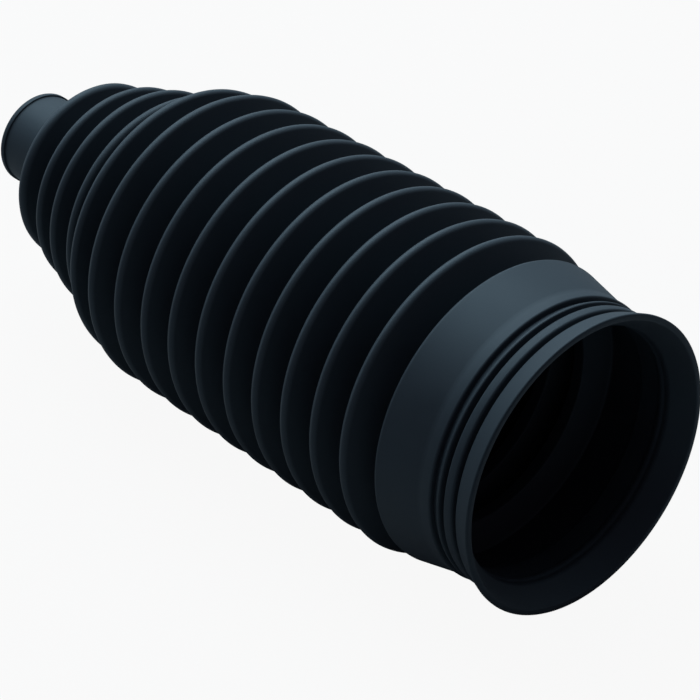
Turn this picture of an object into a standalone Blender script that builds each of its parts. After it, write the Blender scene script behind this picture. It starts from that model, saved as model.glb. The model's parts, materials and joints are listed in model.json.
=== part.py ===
"""Steering rack boot: a moulded rubber bellows, one piece, lying on its side.

The boot is a turned shape. Its wall is drawn once as a closed section, from the
narrow neck that grips the tie rod to the flared lip that seats on the rack housing,
and a Screw modifier turns the section round the boot's axis.

World frame: +X runs along the boot's axis to the open mouth, +Z is up, and the boot
lies on the plane Z = 0. The origin is below the middle of its length.
"""

import math

import bpy

MM = 0.001

# Neck, the narrow end that is clamped on the tie rod
NECK_BORE_RADIUS = 7.2 * MM
NECK_END_RADIUS = 9.6 * MM
NECK_ROOT_RADIUS = 10.0 * MM
NECK_BEAD_HEIGHT = 0.35 * MM
NECK_BEAD_WIDTH = 1.2 * MM
NECK_EDGE_ROUND = 0.3 * MM
NECK_ROOT_ROUND = 1.2 * MM

# Folds, from the neck to the mouth: small ones that grow, then a long even row
FIRST_FOLD_PLACE = 19.2 * MM
FIRST_FOLD_ROUND = 1.4 * MM
SMALL_FOLD_RADII = (19.3 * MM, 22.0 * MM, 24.1 * MM, 25.6 * MM, 29.4 * MM)
SMALL_FOLD_GAPS = (9.3 * MM, 7.2 * MM, 7.3 * MM, 6.2 * MM, 8.0 * MM)
LARGE_FOLD_COUNT = 10
LARGE_FOLD_PITCH = 8.2 * MM
LARGE_FOLD_FIRST_RADIUS = 31.25 * MM
LARGE_FOLD_LAST_RADIUS = 32.1 * MM
CREST_ROUND = 1.1 * MM
ROOT_LAND = 1.0 * MM
FLANK_LEAN = math.radians(24.0)
FOLD_WALL = 1.2 * MM

# Plain band between the last fold and the clamp seat: a taper, then a short straight run
BAND_GAP = 7.2 * MM
BAND_LENGTH = 12.3 * MM
BAND_TAPER_LENGTH = 9.6 * MM
BAND_START_RADIUS = 30.7 * MM
BAND_END_RADIUS = 28.65 * MM
BAND_EDGE_ROUND = 0.9 * MM
BAND_WALL = 1.3 * MM

# Clamp seat: two raised ribs with narrow grooves beside them, and a bead inside
SEAT_FLOOR_RADIUS = 27.0 * MM
SEAT_BORE_RADIUS = 25.6 * MM
RIB_RADIUS = 28.35 * MM
RIB_EDGE_ROUND = 0.3 * MM
FIRST_RIB_RAMP = 1.3 * MM
FIRST_RIB_WIDTH = 0.45 * MM
SECOND_RIB_WIDTH = 2.0 * MM
FIRST_GROOVE_RADIUS = 27.5 * MM
FIRST_GROOVE_WIDTH = 0.3 * MM
GROOVE_WIDTH = 1.1 * MM
GROOVE_DRAFT = 0.3 * MM
SEAL_BEAD_HEIGHT = 0.4 * MM
SEAL_BEAD_WIDTH = 1.6 * MM
SEAL_BEAD_SETBACK = 0.9 * MM

# Flared lip round the mouth
LIP_START_RADIUS = 28.35 * MM
LIP_LENGTH = 4.45 * MM
RIM_OUTER_RADIUS = 29.95 * MM
RIM_INNER_RADIUS = 28.6 * MM
RIM_EDGE_ROUND = 0.4 * MM

# Facets: the turned surface and the arcs of the section
TURN_STEPS = 36
CREST_ARC_STEPS = 2
SMALL_ARC_STEPS = 1

RUBBER_COLOUR = (0.014, 0.019, 0.025, 1.0)
RUBBER_ROUGHNESS = 0.5


def clear_scene():
    for thing in list(bpy.data.objects):
        bpy.data.objects.remove(thing, do_unlink=True)


def rubber():
    material = bpy.data.materials.new("Black rubber")
    material.use_nodes = True
    shader = material.node_tree.nodes["Principled BSDF"]
    shader.inputs["Base Color"].default_value = RUBBER_COLOUR
    shader.inputs["Roughness"].default_value = RUBBER_ROUGHNESS
    shader.inputs["Metallic"].default_value = 0.0
    material.diffuse_color = RUBBER_COLOUR
    return material


def rounded(before, corner, after, radius, steps):
    """Points of the arc that rounds a corner between two straight runs."""
    if radius <= 0.0:
        return [corner]
    to_before = math.atan2(before[1] - corner[1], before[0] - corner[0])
    to_after = math.atan2(after[1] - corner[1], after[0] - corner[0])
    turn = math.remainder(to_after - to_before, math.tau)
    reach = min(math.dist(before, corner), math.dist(corner, after)) / 2.0
    radius = min(radius, reach * math.tan(abs(turn) / 2.0))
    middle = to_before + turn / 2.0
    to_centre = radius / math.sin(abs(turn) / 2.0)
    centre = (corner[0] + to_centre * math.cos(middle), corner[1] + to_centre * math.sin(middle))
    sweep = math.copysign(math.pi, turn) - turn
    first = middle + math.pi + sweep / 2.0
    points = []
    for step in range(steps + 1):
        angle = first - sweep * step / steps
        points.append((centre[0] + radius * math.cos(angle), centre[1] + radius * math.sin(angle)))
    return points


def rounded_line(corners):
    """A line through corners, each given as its point, its radius and its arc steps."""
    line = []
    last = len(corners) - 1
    for index, (point, radius, steps) in enumerate(corners):
        if index in (0, last):
            line.append(point)
        else:
            line += rounded(corners[index - 1][0], point, corners[index + 1][0], radius, steps)
    return line


def folds():
    """Place, crest radius and crest rounding of every fold, from the neck to the mouth."""
    rows = []
    place = FIRST_FOLD_PLACE
    for index, (radius, gap) in enumerate(zip(SMALL_FOLD_RADII, SMALL_FOLD_GAPS)):
        rows.append((place, radius, FIRST_FOLD_ROUND if index == 0 else CREST_ROUND))
        place += gap
    growth = (LARGE_FOLD_LAST_RADIUS - LARGE_FOLD_FIRST_RADIUS) / (LARGE_FOLD_COUNT - 1)
    for index in range(LARGE_FOLD_COUNT):
        rows.append((place, LARGE_FOLD_FIRST_RADIUS + growth * index, CREST_ROUND))
        place += LARGE_FOLD_PITCH
    return rows


def crest_corner(place, radius, crest_round):
    """Where a fold's two flanks would meet if its crest were sharp."""
    return place, radius + crest_round * (1.0 / math.sin(FLANK_LEAN) - 1.0)


def root_corner(left, right):
    """Where the facing flanks of two neighbouring crests meet, between them."""
    run = math.tan(FLANK_LEAN)
    radius = (left[1] + right[1]) / 2.0 - (right[0] - left[0]) / (2.0 * run)
    return left[0] + (left[1] - radius) * run, radius


def inward(corner, wall):
    """The same sharp fold corner on the inner face of the wall."""
    return corner[0], corner[1] - wall / math.sin(FLANK_LEAN)


def root_land(corner, drop):
    """The two ends of the narrow land in a root, on the face that lies a drop further in."""
    sharp = inward(corner, drop)
    radius = corner[1] + ROOT_LAND / (2.0 * math.tan(FLANK_LEAN)) - drop
    reach = (radius - sharp[1]) * math.tan(FLANK_LEAN)
    return [((sharp[0] - reach, radius), 0.0, 0), ((sharp[0] + reach, radius), 0.0, 0)]


def neck_root_place(crest, radius):
    """Where the first fold's flank comes down to a radius on the neck's side."""
    return crest[0] - (crest[1] - radius) * math.tan(FLANK_LEAN)


def wall_section():
    """The wall's outer and inner lines, from the neck to the mouth, and the boot's length."""
    rows = folds()
    rounds = [row[2] for row in rows]
    crests = [crest_corner(*row) for row in rows]
    band_start = (rows[-1][0] + BAND_GAP, BAND_START_RADIUS)
    taper_end = (band_start[0] + BAND_TAPER_LENGTH, BAND_END_RADIUS)
    band_end = (band_start[0] + BAND_LENGTH, BAND_END_RADIUS)
    roots = [root_corner(left, right) for left, right in zip(crests, crests[1:] + [band_start])]

    outer = neck_outside(crests[0])
    for crest, crest_round, root in zip(crests, rounds, roots):
        outer.append((crest, crest_round, CREST_ARC_STEPS))
        outer += root_land(root, 0.0)
    outer.append((band_start, BAND_EDGE_ROUND, SMALL_ARC_STEPS))
    outer.append((taper_end, 0.0, 0))
    outer.append((band_end, BAND_EDGE_ROUND, SMALL_ARC_STEPS))
    seat, lip_start = seat_outside(band_end[0])
    outer += seat
    length = lip_start + LIP_LENGTH
    outer.append(((length, RIM_OUTER_RADIUS), RIM_EDGE_ROUND, SMALL_ARC_STEPS))
    outer.append(((length, RIM_INNER_RADIUS), 0.0, 0))

    inner = neck_inside(inward(crests[0], FOLD_WALL))
    for crest, crest_round, root in zip(crests, rounds, roots):
        inner.append((inward(crest, FOLD_WALL), crest_round - FOLD_WALL, SMALL_ARC_STEPS))
        inner += root_land(root, FOLD_WALL)
    inner += mouth_inside(band_start, taper_end, band_end, lip_start)
    inner.append(((length, RIM_INNER_RADIUS), 0.0, 0))
    return rounded_line(outer), rounded_line(inner)[:-1], length


def neck_outside(first_crest):
    bead_radius = NECK_END_RADIUS + NECK_BEAD_HEIGHT
    root = (neck_root_place(first_crest, NECK_ROOT_RADIUS), NECK_ROOT_RADIUS)
    return [
        ((0.0, NECK_BORE_RADIUS), 0.0, 0),
        ((0.0, bead_radius), NECK_EDGE_ROUND, SMALL_ARC_STEPS),
        ((NECK_BEAD_WIDTH, bead_radius), 0.0, 0),
        ((NECK_BEAD_WIDTH, NECK_END_RADIUS), 0.0, 0),
        (root, NECK_ROOT_ROUND, SMALL_ARC_STEPS),
    ]


def neck_inside(first_inner_crest):
    bore_end = (neck_root_place(first_inner_crest, NECK_BORE_RADIUS), NECK_BORE_RADIUS)
    return [((0.0, NECK_BORE_RADIUS), 0.0, 0), (bore_end, NECK_ROOT_ROUND, SMALL_ARC_STEPS)]


def seat_outside(place):
    """The grooves and ribs that the clamp sits on, and where the lip begins."""
    place += FIRST_GROOVE_WIDTH
    corners = [((place, FIRST_GROOVE_RADIUS), 0.0, 0)]
    place += FIRST_RIB_RAMP
    for width in (FIRST_RIB_WIDTH, SECOND_RIB_WIDTH):
        corners.append(((place, RIB_RADIUS), RIB_EDGE_ROUND, SMALL_ARC_STEPS))
        place += width
        corners.append(((place, RIB_RADIUS), RIB_EDGE_ROUND, SMALL_ARC_STEPS))
        corners.append(((place + GROOVE_DRAFT, SEAT_FLOOR_RADIUS), 0.0, 0))
        place += GROOVE_WIDTH
        corners.append(((place - GROOVE_DRAFT, SEAT_FLOOR_RADIUS), 0.0, 0))
    corners.append(((place, LIP_START_RADIUS), RIB_EDGE_ROUND, SMALL_ARC_STEPS))
    return corners, place


def mouth_inside(band_start, taper_end, band_end, lip_start):
    """Inside of the band, the step down to the seat bore, the sealing bead and the flare."""
    band_reach = BAND_WALL * math.tan((math.pi / 2.0 - FLANK_LEAN) / 2.0)
    step_end = band_end[0] - BAND_WALL / 2.0
    bead_end = lip_start - SEAL_BEAD_SETBACK
    bead_start = bead_end - SEAL_BEAD_WIDTH
    bead_radius = SEAT_BORE_RADIUS - SEAL_BEAD_HEIGHT
    return [
        ((band_start[0] + band_reach, band_start[1] - BAND_WALL), 0.0, 0),
        ((taper_end[0], taper_end[1] - BAND_WALL), 0.0, 0),
        ((band_end[0] - BAND_WALL, band_end[1] - BAND_WALL), 0.0, 0),
        ((step_end, SEAT_BORE_RADIUS), 0.0, 0),
        ((bead_start, SEAT_BORE_RADIUS), 0.0, 0),
        (((bead_start + bead_end) / 2.0, bead_radius), 0.0, 0),
        ((bead_end, SEAT_BORE_RADIUS), 0.0, 0),
        ((lip_start, SEAT_BORE_RADIUS), 0.0, 0),
    ]


def turned_boot(material):
    outer, inner, length = wall_section()
    # The middle of each facet lies at the true radius, so the corners stand a little outside it
    half_step = math.pi / TURN_STEPS
    spread = 1.0 / math.cos(half_step)
    # The outer line runs down from the mouth, at the top, and the inner line runs back up
    loop = list(reversed(outer)) + inner[1:]
    points = [(radius * spread, 0.0, place - length / 2.0) for place, radius in loop]
    edges = [(index, (index + 1) % len(points)) for index in range(len(points))]

    mesh = bpy.data.meshes.new("boot_section")
    mesh.from_pydata(points, edges, [])
    mesh.materials.append(material)
    boot = bpy.data.objects.new("rack_boot", mesh)

    turn = boot.modifiers.new("Turn", "SCREW")
    turn.axis = "Z"
    turn.angle = math.tau
    turn.screw_offset = 0.0
    turn.steps = TURN_STEPS
    turn.render_steps = TURN_STEPS
    turn.use_merge_vertices = True
    turn.merge_threshold = 0.001 * MM
    turn.use_smooth_shade = True
    boot.modifiers.new("Flat faces look flat", "WEIGHTED_NORMAL")

    # Half a step of turn puts a flat facet of each crest at the bottom, as a soft boot rests
    boot.rotation_mode = "ZYX"
    boot.rotation_euler = (0.0, math.pi / 2.0, half_step)
    boot.location = (0.0, 0.0, LARGE_FOLD_LAST_RADIUS)
    return boot


def main():
    clear_scene()
    collection = bpy.data.collections.new("Steering rack boot")
    bpy.context.scene.collection.children.link(collection)
    collection.objects.link(turned_boot(rubber()))


main()
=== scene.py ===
"""Looks of a steering rack boot: a moulded black rubber bellows that lies on its side.

The file is laid out as a Blender add-on. One operator turns the boot's fine wall section
round its axis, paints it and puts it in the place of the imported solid. The other one sets
the studio: a pale floor, soft light and the camera. Lengths are in metres, +X runs along
the axis to the open mouth, +Z is up, and the boot lies on the plane Z = 0.
"""

import json
import math

import bmesh
import bpy
from bpy.props import FloatProperty, FloatVectorProperty, IntProperty, PointerProperty
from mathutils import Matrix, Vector


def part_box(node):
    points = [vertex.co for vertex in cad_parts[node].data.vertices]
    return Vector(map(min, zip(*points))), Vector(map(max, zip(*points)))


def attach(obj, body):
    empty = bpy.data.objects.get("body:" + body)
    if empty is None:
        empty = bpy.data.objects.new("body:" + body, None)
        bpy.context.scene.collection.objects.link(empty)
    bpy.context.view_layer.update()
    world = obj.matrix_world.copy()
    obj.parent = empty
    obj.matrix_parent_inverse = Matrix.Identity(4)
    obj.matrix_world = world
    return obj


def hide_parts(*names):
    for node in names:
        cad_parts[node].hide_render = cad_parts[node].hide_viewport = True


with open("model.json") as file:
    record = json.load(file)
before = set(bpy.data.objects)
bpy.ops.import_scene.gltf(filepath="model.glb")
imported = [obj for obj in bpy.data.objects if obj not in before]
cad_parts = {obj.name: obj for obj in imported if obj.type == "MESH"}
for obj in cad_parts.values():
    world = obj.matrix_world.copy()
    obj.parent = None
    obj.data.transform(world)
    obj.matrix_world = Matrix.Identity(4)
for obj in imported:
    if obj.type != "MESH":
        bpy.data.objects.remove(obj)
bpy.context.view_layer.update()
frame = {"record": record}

bl_info = {
    "name": "Steering rack boot",
    "version": (1, 0, 0),
    "blender": (4, 5, 0),
    "location": "View3D > Sidebar > Rack boot",
    "description": "Models a moulded rubber bellows boot and the studio that shows it",
    "category": "Add Mesh",
}

MM = 0.001
NODE = "rack_boot"
BODY = "root"

BOX_LOW, BOX_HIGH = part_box(NODE)
BOOT_LENGTH = BOX_HIGH.x - BOX_LOW.x
CREST_RADIUS = (BOX_HIGH.z - BOX_LOW.z) / 2.0
AXIS_HEIGHT = BOX_LOW.z + CREST_RADIUS
RECORD_COLOUR = frame["record"]["materials"][0]["base_color"]

# Small folds between the neck and the even row: crest radii, and the gap to the next crest
SMALL_FOLD_RADII = (19.3 * MM, 22.0 * MM, 24.1 * MM, 25.6 * MM, 29.4 * MM)
SMALL_FOLD_GAPS = (9.3 * MM, 7.2 * MM, 7.3 * MM, 6.2 * MM, 8.0 * MM)

# Two roundings that would meet leave this much of the land between them
MEETING = 0.98

# How far from its corner a rounding starts
SHARP_EDGE = 0.12 * MM
RIB_EDGE = 0.22 * MM
EDGE = 0.25 * MM
INNER_FOLD = 0.3 * MM
SOFT_EDGE = 0.4 * MM
FILLET = 0.5 * MM
RIM_EDGE = 0.55 * MM
BAND_EDGE = 0.6 * MM
NECK_FILLET = 0.9 * MM

# The band gets a painted sheen: the crests' lighter colour at the strength it has on a fold at this
# depth below its crest
PAINTED_BAND_SHEEN_DEPTH = 0.45 * MM

# Middle of a noise's range, and how strongly the noises change the rubber
NOISE_MIDDLE = 0.5
GRAIN_SHADE = 0.15
CLOUD_ROUGHNESS = 0.16
GRAIN_ROUGHNESS = 0.08
RUBBED_POLISH = 0.08
# Painted highlight and rubbing on a crest where the cloudy noise is nothing, and what a full cloud
# adds
EVEN_RUBBING_AND_HIGHLIGHT = 0.4
CLOUDY_RUBBING_AND_HIGHLIGHT = 1.2

FLOOR_STEPS = 64
FLOOR_ROUGHNESS = 0.9
FLOOR_SHEEN = 0.1
WHITE = (1.0, 1.0, 1.0)
LAMP_COLOUR = (0.82, 0.94, 1.0)
SOFTBOX_PLACE = (-0.30, 0.12, 0.62)
# The backdrop's light comes from this side, and fades in between two cosines of the angle
BACKDROP_SIDE = Vector((-0.76, 0.38, 0.53)).normalized()
BACKDROP_FADE = (0.15, 0.9)

SENSOR_WIDTH_MM = 36.0
CLIP_START = 0.01
CLIP_END = 100.0


def length(name, description, default):
    """A length property, shown in the scene's unit."""
    return FloatProperty(name=name, description=description, default=default, min=0.0,
                         precision=5, unit="LENGTH")


def share(name, description, default):
    """A property between nothing and everything."""
    return FloatProperty(name=name, description=description, default=default, min=0.0, max=1.0,
                         subtype="FACTOR")


def colour(name, description, default):
    """A linear colour property."""
    return FloatVectorProperty(name=name, description=description, default=default, min=0.0,
                               max=1.0, subtype="COLOR")


class BootSizes(bpy.types.PropertyGroup):
    """Sizes of the boot's wall section."""

    neck_bore: length("Neck bore", "Inner radius of the neck", 7.2 * MM)
    neck_end: length("Neck end", "Outer radius of the neck at its open end", 9.6 * MM)
    neck_root: length("Neck root", "Outer radius of the neck at the first fold", 10.0 * MM)
    neck_bead: length("Neck bead", "Height of the bead round the neck's end", 0.35 * MM)
    bead_width: length("Bead width", "Width of the bead round the neck's end", 1.2 * MM)
    first_place: length("First fold", "Distance of the first crest from the neck's end", 19.2 * MM)
    first_round: length("First crest", "Rounding of the wide first crest", 1.4 * MM)
    crest_round: length("Crest", "Rounding of every other crest", 1.1 * MM)
    first_large: length("First large fold", "Crest radius of the first large fold", 31.25 * MM)
    last_large: length("Last large fold", "Crest radius of the last large fold", CREST_RADIUS)
    fold_pitch: length("Fold pitch", "Distance between two large crests", 8.2 * MM)
    fold_count: IntProperty(name="Large folds", description="Number of folds in the even row",
                            default=10, min=2)
    fold_wall: length("Fold wall", "Wall of the folds", 1.2 * MM)
    root_land: length("Root land", "Width of the land at the bottom of a fold", 1.0 * MM)
    flank_lean: FloatProperty(name="Flank lean", description="Lean of a flank off the radius",
                              default=math.radians(24.0), subtype="ANGLE")
    band_gap: length("Band gap", "Distance from the last crest to the band", 7.2 * MM)
    band_length: length("Band", "Length of the plain band", 12.3 * MM)
    band_taper: length("Band taper", "Length of the band's tapering part", 9.6 * MM)
    band_start: length("Band start", "Radius of the band beside the folds", 30.7 * MM)
    band_end: length("Band end", "Radius of the band beside the clamp seat", 28.65 * MM)
    band_wall: length("Band wall", "Wall of the band", 1.3 * MM)
    seat_floor: length("Seat floor", "Radius at the bottom of the grooves", 27.0 * MM)
    seat_bore: length("Seat bore", "Inner radius of the clamp seat", 25.6 * MM)
    rib_radius: length("Ribs", "Radius of the two ribs", 28.35 * MM)
    first_rib_ramp: length("First rib ramp", "Width of the first rib's sloping side", 1.4 * MM)
    first_rib: length("First rib", "Width of the top of the rib beside the band", 0.5 * MM)
    second_rib: length("Second rib", "Width of the rib beside the lip", 2.0 * MM)
    first_groove: length("First groove", "Width of the groove beside the band", 0.15 * MM)
    first_floor: length("First groove's floor", "Radius at the bottom of that groove", 27.5 * MM)
    groove: length("Grooves", "Width of the two other grooves", 1.1 * MM)
    groove_draft: length("Groove draft", "How much narrower a groove's side is at its floor",
                         0.4 * MM)
    seal_height: length("Seal bead", "Height of the bead inside the clamp seat", 0.4 * MM)
    seal_width: length("Seal width", "Width of the bead inside the clamp seat", 1.6 * MM)
    seal_setback: length("Seal setback", "Distance of that bead from the flare", 0.9 * MM)
    lip_start: length("Lip start", "Outer radius where the lip begins", 28.35 * MM)
    rim_outer: length("Rim", "Outer radius of the rim", 29.95 * MM)
    rim_inner: length("Rim bore", "Inner radius of the rim", 28.6 * MM)
    turn_steps: IntProperty(name="Turn steps", description="Facets round the axis", default=192,
                            min=24)
    arc_steps: IntProperty(name="Arc steps", description="Facets of one corner's rounding",
                           default=3, min=2)


class RubberLook(bpy.types.PropertyGroup):
    """Colour and surface of the moulded rubber."""

    base: colour("Rubber", "Colour of the rubber", RECORD_COLOUR)
    # Lighter colour painted on the crests: a painted highlight, and partly rubbing
    rubbing_and_highlight_colour: colour("Crest highlight and rubbing colour", "Colour painted on a crest, partly rubbing and partly highlight", (0.030, 0.038, 0.047))
    tint: colour("Sheen tint", "Tint of the soft reflections", (0.64, 0.86, 1.0))
    sheen: share("Sheen", "Strength of the soft reflections", 0.42)
    roughness: share("Roughness", "Roughness of the moulded skin", 0.58)
    rubbing_and_highlight_strength: share("Crest highlight and rubbing", "How strongly the crests' painted highlight and rubbing show", 0.5)
    rubbing_and_highlight_depth: length("Wear depth", "How far down from a crest the painted highlight and rubbing reach", 0.9 * MM)
    mottle: share("Mottle", "Strength of the cloudy change of colour", 0.25)
    mottle_size: length("Mottle size", "Size of the cloudy patches", 9.0 * MM)
    grain_size: length("Grain size", "Size of the skin's fine grain", 0.35 * MM)
    grain_depth: length("Grain depth", "Depth of the skin's fine grain", 0.012 * MM)
    turning_pitch: length("Turning pitch", "Pitch of the marks left by the turned mould",
                          0.45 * MM)
    turning_depth: length("Turning depth", "Depth of the marks left by the turned mould",
                          0.006 * MM)


class StageLook(bpy.types.PropertyGroup):
    """Floor, light and camera."""

    floor_radius: length("Floor radius", "Radius of the round floor", 6.0)
    floor: colour("Floor", "Colour of the floor", (0.34, 0.34, 0.34))
    floor_white: share("Floor white", "How much of the floor's picture is plain white", 0.93)
    room: colour("Room", "Light from the unlit side of the room", (0.084, 0.070, 0.085))
    backdrop: colour("Backdrop light", "Light from the side of the white backdrop",
                     (0.63, 0.84, 1.0))
    key_size: length("Softbox size", "Width of the softbox above", 0.7)
    key_power: FloatProperty(name="Top softbox", description="Power of the softbox above, in watts",
                             default=4.2, min=0.0)
    azimuth: FloatProperty(name="Azimuth", description="Where the camera stands round the boot",
                           default=math.radians(48.05), subtype="ANGLE")
    elevation: FloatProperty(name="Elevation", description="Height of the camera above the horizon",
                             default=math.radians(33.14), subtype="ANGLE")
    distance: length("Distance", "Distance from the camera to the point it looks at", 588.25 * MM)
    aim: FloatVectorProperty(name="Aim", description="Point that the camera looks at",
                             default=(32.07 * MM, -13.35 * MM, 39.32 * MM), subtype="TRANSLATION")
    lens: FloatProperty(name="Lens", description="Focal length, in millimetres", default=164.07)


class Field:
    """A shader socket that takes part in arithmetic."""

    def __init__(self, nodes, socket):
        self.nodes = nodes
        self.socket = socket

    def math(self, operation, *values):
        return self.nodes.add("ShaderNodeMath", {"operation": operation}, values)

    def __add__(self, other):
        return self.math("ADD", self, other)

    def __radd__(self, other):
        return self.math("ADD", other, self)

    def __sub__(self, other):
        return self.math("SUBTRACT", self, other)

    def __rsub__(self, other):
        return self.math("SUBTRACT", other, self)

    def __mul__(self, other):
        return self.math("MULTIPLY", self, other)

    def __truediv__(self, other):
        return self.math("DIVIDE", self, other)


class Nodes:
    """Adds nodes to a material's or a world's tree."""

    def __init__(self, owner):
        owner.use_nodes = True
        self.tree = owner.node_tree

    def add(self, kind, settings=None, values=(), output=0):
        """Adds a node with its settings and its sockets' values or links, and gives an output."""
        node = self.tree.nodes.new(kind)
        for name, setting in (settings or {}).items():
            setattr(node, name, setting)
        pairs = values.items() if isinstance(values, dict) else enumerate(values)
        for key, value in pairs:
            if isinstance(value, Field):
                self.tree.links.new(value.socket, node.inputs[key])
            else:
                node.inputs[key].default_value = value
        return Field(self, node.outputs[output])

    def mix(self, factor, first, second):
        """A colour between two colours."""
        settings = {"data_type": "RGBA"}
        return self.add("ShaderNodeMix", settings, {0: factor, 6: first, 7: second}, output=2)

    def smooth_step(self, value, start, end):
        """Rises softly from 0 at start to 1 at end."""
        settings = {"interpolation_type": "SMOOTHSTEP"}
        return self.add("ShaderNodeMapRange", settings, {0: value, 1: start, 2: end})


def opaque(rgb):
    return (*rgb, 1.0)


def folds(sizes):
    """Place, crest radius and rounding of every fold, from the neck to the mouth."""
    rows = []
    place = sizes.first_place
    for index, (radius, gap) in enumerate(zip(SMALL_FOLD_RADII, SMALL_FOLD_GAPS)):
        rows.append((place, radius, sizes.first_round if index == 0 else sizes.crest_round))
        place += gap
    growth = (sizes.last_large - sizes.first_large) / (sizes.fold_count - 1)
    for index in range(sizes.fold_count):
        rows.append((place, sizes.first_large + growth * index, sizes.crest_round))
        place += sizes.fold_pitch
    return rows


class Section:
    """The wall's closed outline as sharp corners, each with the reach of its rounding."""

    def __init__(self, sizes):
        self.sizes = sizes
        self.corners = []
        self.rows = folds(sizes)
        self.run = math.tan(sizes.flank_lean)
        self.over = 1.0 / math.sin(sizes.flank_lean) - 1.0
        self.inset = sizes.fold_wall / math.sin(sizes.flank_lean)
        self.crests = [(place, radius + crest_round * self.over)
                       for place, radius, crest_round in self.rows]
        band_place = self.rows[-1][0] + sizes.band_gap
        self.band_start = (band_place, sizes.band_start)
        self.taper_end = (band_place + sizes.band_taper, sizes.band_end)
        self.band_end = (band_place + sizes.band_length, sizes.band_end)
        followers = self.crests[1:] + [self.band_start]
        self.roots = [self.between(*pair) for pair in zip(self.crests, followers)]
        self.outside_of_neck_and_folds()
        self.outside_of_mouth()
        self.inside_of_mouth()
        self.inside_of_folds_and_neck()

    def corner(self, place, radius, reach):
        self.corners.append((place, radius, reach))

    def between(self, left, right):
        """Where the facing flanks of two neighbours meet."""
        radius = (left[1] + right[1]) / 2.0 - (right[0] - left[0]) / (2.0 * self.run)
        return left[0] + (left[1] - radius) * self.run, radius

    def crest(self, place, radius, crest_round):
        """A crest is a land as wide as its two roundings, so that they make one round top."""
        half = crest_round * math.tan((math.pi / 2.0 - self.sizes.flank_lean) / 2.0)
        self.corner(place - half, radius, half * MEETING)
        self.corner(place + half, radius, half * MEETING)

    def land(self, root, drop):
        """The two ends of a root's land, on the face that lies a drop further in."""
        half = self.sizes.root_land / 2.0
        radius = root[1] + half / self.run - drop
        sharp = root[1] - drop / math.sin(self.sizes.flank_lean)
        reach = (radius - sharp) * self.run
        return (root[0] - reach, radius), (root[0] + reach, radius)

    def outside_of_neck_and_folds(self):
        sizes = self.sizes
        bead = sizes.neck_end + sizes.neck_bead
        self.corner(0.0, sizes.neck_bore, SHARP_EDGE)
        self.corner(0.0, bead, EDGE)
        self.corner(sizes.bead_width, bead, SHARP_EDGE)
        self.corner(sizes.bead_width, sizes.neck_end, SHARP_EDGE)
        place, radius = self.crests[0]
        self.corner(place - (radius - sizes.neck_root) * self.run, sizes.neck_root, NECK_FILLET)
        for row, root in zip(self.rows, self.roots):
            self.crest(*row)
            for end in self.land(root, 0.0):
                self.corner(*end, FILLET)

    def outside_of_mouth(self):
        sizes = self.sizes
        self.corner(*self.band_start, BAND_EDGE)
        self.corner(*self.taper_end, BAND_EDGE)
        self.corner(*self.band_end, SOFT_EDGE)
        place = self.band_end[0] + sizes.first_groove
        self.corner(place, sizes.first_floor, SHARP_EDGE)
        place += sizes.first_rib_ramp
        for width, edge in ((sizes.first_rib, RIB_EDGE), (sizes.second_rib, SOFT_EDGE)):
            self.corner(place, sizes.rib_radius, edge)
            place += width
            self.corner(place, sizes.rib_radius, edge)
            self.corner(place + sizes.groove_draft, sizes.seat_floor, SHARP_EDGE)
            place += sizes.groove
            self.corner(place - sizes.groove_draft, sizes.seat_floor, SHARP_EDGE)
        self.corner(place, sizes.lip_start, SOFT_EDGE)
        self.lip_place = place
        self.corner(BOOT_LENGTH, sizes.rim_outer, RIM_EDGE)
        self.corner(BOOT_LENGTH, sizes.rim_inner, EDGE)

    def inside_of_mouth(self):
        sizes = self.sizes
        self.corner(self.lip_place, sizes.seat_bore, FILLET)
        bead_end = self.lip_place - sizes.seal_setback
        bead_start = bead_end - sizes.seal_width
        self.corner(bead_end, sizes.seat_bore, EDGE)
        self.corner((bead_start + bead_end) / 2.0, sizes.seat_bore - sizes.seal_height, SOFT_EDGE)
        self.corner(bead_start, sizes.seat_bore, EDGE)
        wall = sizes.band_wall
        self.corner(self.band_end[0] - wall / 2.0, sizes.seat_bore, SOFT_EDGE)
        self.corner(self.band_end[0] - wall, self.band_end[1] - wall, SOFT_EDGE)
        self.corner(self.taper_end[0], self.taper_end[1] - wall, SOFT_EDGE)
        reach = wall * math.tan((math.pi / 2.0 - sizes.flank_lean) / 2.0)
        self.corner(self.band_start[0] + reach, self.band_start[1] - wall, SOFT_EDGE)

    def inside_of_folds_and_neck(self):
        sizes = self.sizes
        for crest, root in reversed(list(zip(self.crests, self.roots))):
            for end in reversed(self.land(root, sizes.fold_wall)):
                self.corner(*end, INNER_FOLD)
            self.corner(crest[0], crest[1] - self.inset, INNER_FOLD)
        place, radius = self.crests[0]
        place -= (radius - self.inset - sizes.neck_bore) * self.run
        self.corner(place, sizes.neck_bore, NECK_FILLET)


def crest_line(rows, place):
    """Radius of the line through the crests at a place."""
    left = rows[0]
    for right in rows[1:]:
        if place <= right[0]:
            along = (place - left[0]) / (right[0] - left[0])
            return left[1] + (right[1] - left[1]) * max(0.0, along)
        left = right
    return left[1]


def round_corners(shape, corners, verts, steps):
    """Bevels the section's corners, one call for each reach."""
    reaches = sorted({reach for _, _, reach in corners})
    for reach in reaches:
        group = [vert for vert, corner in zip(verts, corners) if corner[2] == reach]
        segments = steps if reach > SOFT_EDGE else max(2, steps - 1)
        bmesh.ops.bevel(shape, geom=group, offset=reach, offset_type="OFFSET", affect="VERTICES",
                        segments=segments, profile=0.5, material=-1, clamp_overlap=True)


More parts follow.
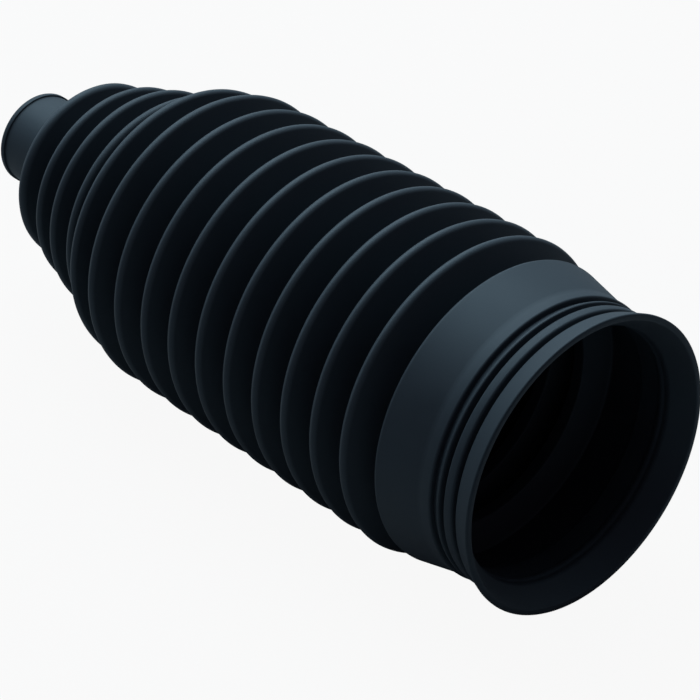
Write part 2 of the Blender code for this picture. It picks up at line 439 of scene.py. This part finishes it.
def turned_wall(sizes):
    """The boot's wall, turned from its rounded section.

    Each point keeps its depth below the line through the crests as below_crest, which the rubber's
    lighter crest colour, a painted highlight and rubbing, reads.
    """
    section = Section(sizes)
    shape = bmesh.new()
    depth = shape.verts.layers.float.new("below_crest")
    verts = [shape.verts.new((BOX_LOW.x + place, 0.0, AXIS_HEIGHT + radius))
             for place, radius, _ in section.corners]
    for first, second in zip(verts, verts[1:] + verts[:1]):
        shape.edges.new((first, second))
    round_corners(shape, section.corners, verts, sizes.arc_steps)
    first_place = section.rows[0][0] - sizes.fold_pitch
    band_start, band_end = section.band_start[0], section.band_end[0]
    for vert in shape.verts:
        place = vert.co.x - BOX_LOW.x
        radius = vert.co.z - AXIS_HEIGHT
        if first_place < place < band_start:
            vert[depth] = crest_line(section.rows, place) - radius
        # The band's outer surface takes part of the crests' lighter colour as a painted sheen
        elif band_start <= place < band_end and radius > sizes.seat_bore:
            vert[depth] = PAINTED_BAND_SHEEN_DEPTH
        else:
            vert[depth] = sizes.fold_pitch
    bmesh.ops.spin(shape, geom=shape.verts[:] + shape.edges[:], cent=(0.0, 0.0, AXIS_HEIGHT),
                   axis=(1.0, 0.0, 0.0), angle=math.tau, steps=sizes.turn_steps, use_merge=True)
    bmesh.ops.recalc_face_normals(shape, faces=shape.faces[:])
    for face in shape.faces:
        face.smooth = True
    mesh = bpy.data.meshes.new("bellows_boot")
    shape.to_mesh(mesh)
    shape.free()
    return mesh


def rubber(look):
    """Matte moulded rubber: cloudy colour, crests made lighter by painted highlight and rubbing,
    fine grain and faint turning marks.
    """
    material = bpy.data.materials.new("Black moulded rubber")
    nodes = Nodes(material)
    shader = nodes.tree.nodes["Principled BSDF"]
    place = nodes.add("ShaderNodeTexCoord", output=3)
    along = nodes.add("ShaderNodeSeparateXYZ", values=(place,))
    depth = nodes.add("ShaderNodeAttribute", {"attribute_name": "below_crest"}, output=2)

    cloud = nodes.add("ShaderNodeTexNoise", values={
        "Vector": place, "Scale": 1.0 / look.mottle_size, "Detail": 4.0, "Roughness": 0.6})
    grain = nodes.add("ShaderNodeTexNoise", values={
        "Vector": place, "Scale": 1.0 / look.grain_size, "Detail": 3.0, "Roughness": 0.65})
    turning = nodes.add("ShaderNodeTexNoise", {"noise_dimensions": "1D"}, {
        "W": along / look.turning_pitch, "Scale": 1.0, "Detail": 2.0, "Roughness": 0.5})

    # Crests and band get a lighter colour here: partly rubbing, partly painted highlight and sheen
    near_crest = 1.0 - nodes.smooth_step(depth, 0.0, look.rubbing_and_highlight_depth)
    rubbing_and_highlight = near_crest * (EVEN_RUBBING_AND_HIGHLIGHT + cloud * CLOUDY_RUBBING_AND_HIGHLIGHT) * look.rubbing_and_highlight_strength
    cloud_swing = cloud - NOISE_MIDDLE
    grain_swing = grain - NOISE_MIDDLE
    level = 1.0 + cloud_swing * look.mottle + grain_swing * GRAIN_SHADE
    skin = nodes.mix(rubbing_and_highlight, opaque(look.base), opaque(look.rubbing_and_highlight_colour))
    shade = nodes.add("ShaderNodeVectorMath", {"operation": "SCALE"}, {0: skin, "Scale": level})
    nodes.tree.links.new(shade.socket, shader.inputs["Base Color"])

    rough = (look.roughness + cloud_swing * CLOUD_ROUGHNESS + grain_swing * GRAIN_ROUGHNESS
             - rubbing_and_highlight * RUBBED_POLISH)
    nodes.tree.links.new(rough.socket, shader.inputs["Roughness"])

    relief = grain * look.grain_depth + turning * look.turning_depth
    bump = nodes.add("ShaderNodeBump", values={"Strength": 1.0, "Distance": 1.0, "Height": relief})
    nodes.tree.links.new(bump.socket, shader.inputs["Normal"])
    shader.inputs["Specular IOR Level"].default_value = look.sheen
    shader.inputs["Specular Tint"].default_value = opaque(look.tint)
    return material


def link(name, mesh, material):
    piece = bpy.data.objects.new(name, mesh)
    mesh.materials.append(material)
    bpy.context.scene.collection.objects.link(piece)
    return piece


class RACKBOOT_OT_bellows(bpy.types.Operator):
    """Turns the boot's wall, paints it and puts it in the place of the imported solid."""

    bl_idname = "rack_boot.bellows"
    bl_label = "Add bellows boot"

    def execute(self, context):
        sizes = context.scene.rack_boot_sizes
        boot = link("bellows_boot", turned_wall(sizes), rubber(context.scene.rack_boot_rubber))
        boot.modifiers.new("Flat faces look flat", "WEIGHTED_NORMAL")
        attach(boot, BODY)
        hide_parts(NODE)
        return {"FINISHED"}


def floor_material(look):
    """A pale floor that the camera sees as nearly white, with the boot's shadow on it."""
    material = bpy.data.materials.new("Pale floor")
    nodes = Nodes(material)
    shader = nodes.tree.nodes["Principled BSDF"]
    shader.inputs["Base Color"].default_value = opaque(look.floor)
    shader.inputs["Roughness"].default_value = FLOOR_ROUGHNESS
    shader.inputs["Specular IOR Level"].default_value = FLOOR_SHEEN
    seen = nodes.add("ShaderNodeLightPath")
    white = nodes.add("ShaderNodeEmission")
    picture = nodes.add("ShaderNodeMixShader", values={
        0: seen * look.floor_white, 1: Field(nodes, shader.outputs[0]), 2: white})
    nodes.tree.links.new(picture.socket, nodes.tree.nodes["Material Output"].inputs["Surface"])
    return material


def studio_world(look):
    """White for the camera, and for the boot bright on the backdrop's side and dim on the other."""
    world = bpy.data.worlds.new("Studio")
    nodes = Nodes(world)
    background = nodes.tree.nodes["Background"]
    path = nodes.add("ShaderNodeLightPath")
    direction = nodes.add("ShaderNodeTexCoord")
    side = nodes.add("ShaderNodeVectorMath", {"operation": "DOT_PRODUCT"},
                     {0: direction, 1: BACKDROP_SIDE}, output=1)
    lit = nodes.smooth_step(side, *BACKDROP_FADE)
    light = nodes.mix(lit, opaque(look.room), opaque(look.backdrop))
    picture = nodes.mix(path, light, opaque(WHITE))
    nodes.tree.links.new(picture.socket, background.inputs["Color"])
    background.inputs["Strength"].default_value = 1.0
    return world


def softbox(name, place, target, width, power):
    """A square lamp that shines from its place at a target."""
    data = bpy.data.lights.new(name, "AREA")
    data.size = width
    data.energy = power
    data.color = LAMP_COLOUR
    stand = bpy.data.objects.new(name, data)
    stand.location = place
    stand.rotation_euler = (Vector(target) - Vector(place)).to_track_quat("-Z", "Y").to_euler()
    bpy.context.scene.collection.objects.link(stand)


def camera(look):
    """The camera, from its direction, its distance and the point that it looks at."""
    data = bpy.data.cameras.new("Camera")
    data.lens = look.lens
    data.sensor_width = SENSOR_WIDTH_MM
    data.clip_start = CLIP_START
    data.clip_end = CLIP_END
    back = Vector((math.sin(look.azimuth) * math.cos(look.elevation),
                   -math.cos(look.azimuth) * math.cos(look.elevation),
                   math.sin(look.elevation)))
    stand = bpy.data.objects.new("Camera", data)
    stand.location = Vector(look.aim) + back * look.distance
    stand.rotation_euler = (-back).to_track_quat("-Z", "Y").to_euler()
    bpy.context.scene.collection.objects.link(stand)
    return stand


class RACKBOOT_OT_stage(bpy.types.Operator):
    """Adds the floor, the softbox, the world and the camera."""

    bl_idname = "rack_boot.stage"
    bl_label = "Add stage"

    def execute(self, context):
        look = context.scene.rack_boot_stage
        shape = bmesh.new()
        bmesh.ops.create_circle(shape, cap_ends=True, segments=FLOOR_STEPS,
                                radius=look.floor_radius)
        mesh = bpy.data.meshes.new("floor")
        shape.to_mesh(mesh)
        shape.free()
        link("floor", mesh, floor_material(look))
        middle = (0.0, 0.0, AXIS_HEIGHT)
        softbox("Top softbox", SOFTBOX_PLACE, middle, look.key_size, look.key_power)
        context.scene.world = studio_world(look)
        context.scene.camera = camera(look)
        context.scene.view_settings.view_transform = "Standard"
        return {"FINISHED"}


class RACKBOOT_PT_panel(bpy.types.Panel):
    """Lists the boot's sizes, its rubber, the stage and their buttons."""

    bl_label = "Steering rack boot"
    bl_space_type = "VIEW_3D"
    bl_region_type = "UI"
    bl_category = "Rack boot"

    def draw(self, context):
        scene = context.scene
        rows = (
            (scene.rack_boot_sizes, RACKBOOT_OT_bellows),
            (scene.rack_boot_rubber, None),
            (scene.rack_boot_stage, RACKBOOT_OT_stage),
        )
        for group, operator in rows:
            box = self.layout.box()
            for name in group.bl_rna.properties.keys():
                if name not in ("rna_type", "name"):
                    box.prop(group, name)
            if operator:
                box.operator(operator.bl_idname)


CLASSES = (BootSizes, RubberLook, StageLook, RACKBOOT_OT_bellows, RACKBOOT_OT_stage,
           RACKBOOT_PT_panel)


def register():
    for item in CLASSES:
        bpy.utils.register_class(item)
    bpy.types.Scene.rack_boot_sizes = PointerProperty(type=BootSizes)
    bpy.types.Scene.rack_boot_rubber = PointerProperty(type=RubberLook)
    bpy.types.Scene.rack_boot_stage = PointerProperty(type=StageLook)


def unregister():
    del bpy.types.Scene.rack_boot_stage
    del bpy.types.Scene.rack_boot_rubber
    del bpy.types.Scene.rack_boot_sizes
    for item in reversed(CLASSES):
        bpy.utils.unregister_class(item)


def main():
    register()
    bpy.ops.rack_boot.bellows()
    bpy.ops.rack_boot.stage()


if __name__ == "__main__":
    main()
